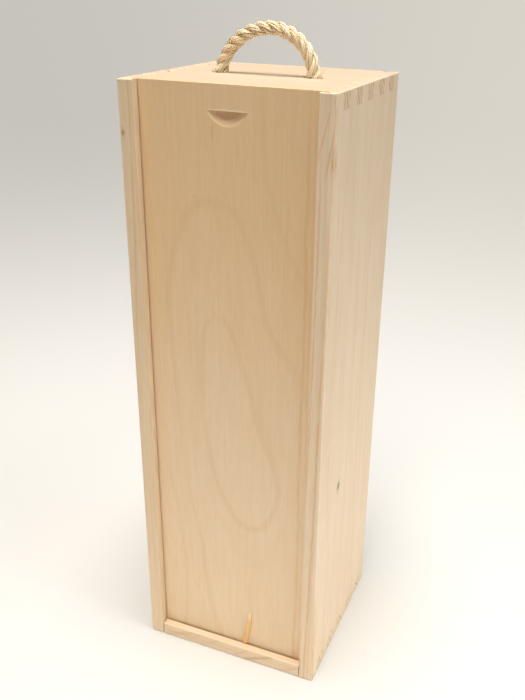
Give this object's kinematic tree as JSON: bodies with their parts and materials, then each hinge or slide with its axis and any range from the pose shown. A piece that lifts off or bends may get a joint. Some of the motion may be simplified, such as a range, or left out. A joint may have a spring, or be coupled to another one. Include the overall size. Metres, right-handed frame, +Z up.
{
  "type": "wooden wine box",
  "caption": "Upright finger-jointed softwood box for one wine bottle, with a plywood lid that slides up in grooves, a rope carrying handle and a finger notch.",
  "frame": {"origin": "middle of the underside, on the surface that the box stands on", "axes": "+Z up along the bottle, +X to the right and +Y to the back for someone facing the lid, so the lid faces -Y"},
  "size_m": [0.113, 0.106, 0.3762],
  "materials": {
    "pine": "planed bare softwood with growth rings, matt",
    "plywood": "bare sanded plywood with a cathedral-grained face veneer, matt",
    "sisal": "three-strand natural fibre rope with loose hairs",
    "splint": "split raw softwood with a pale tip"
  },
  "bodies": {
    "carcass": {"left_side": "pine", "right_side": "pine", "top_board": "pine", "bottom_board": "pine", "back_panel": "plywood", "rope_knot_left": "sisal", "rope_knot_right": "sisal"},
    "lid": {"lid": "plywood"},
    "splint": {"lid_splint": "splint"},
    "handle": {"rope_handle": "sisal"}
  },
  "joints": [
    {"name": "lid_slide", "type": "slide", "parent": "carcass", "child": "lid", "axis": [0, 0, 1], "range_m": [0, 0.35]},
    {"name": "splint_pull", "type": "slide", "parent": "lid", "child": "splint", "axis": [0.1219, 0, 0.9925], "range_m": [0, 0.03]},
    {"name": "handle_tilt", "type": "hinge", "parent": "carcass", "child": "handle", "pos_m": [0, 0, 0.35], "axis": [1, 0, 0], "range_deg": [-30, 30], "stiffness_Nm_per_rad": 0.02}
  ]
}
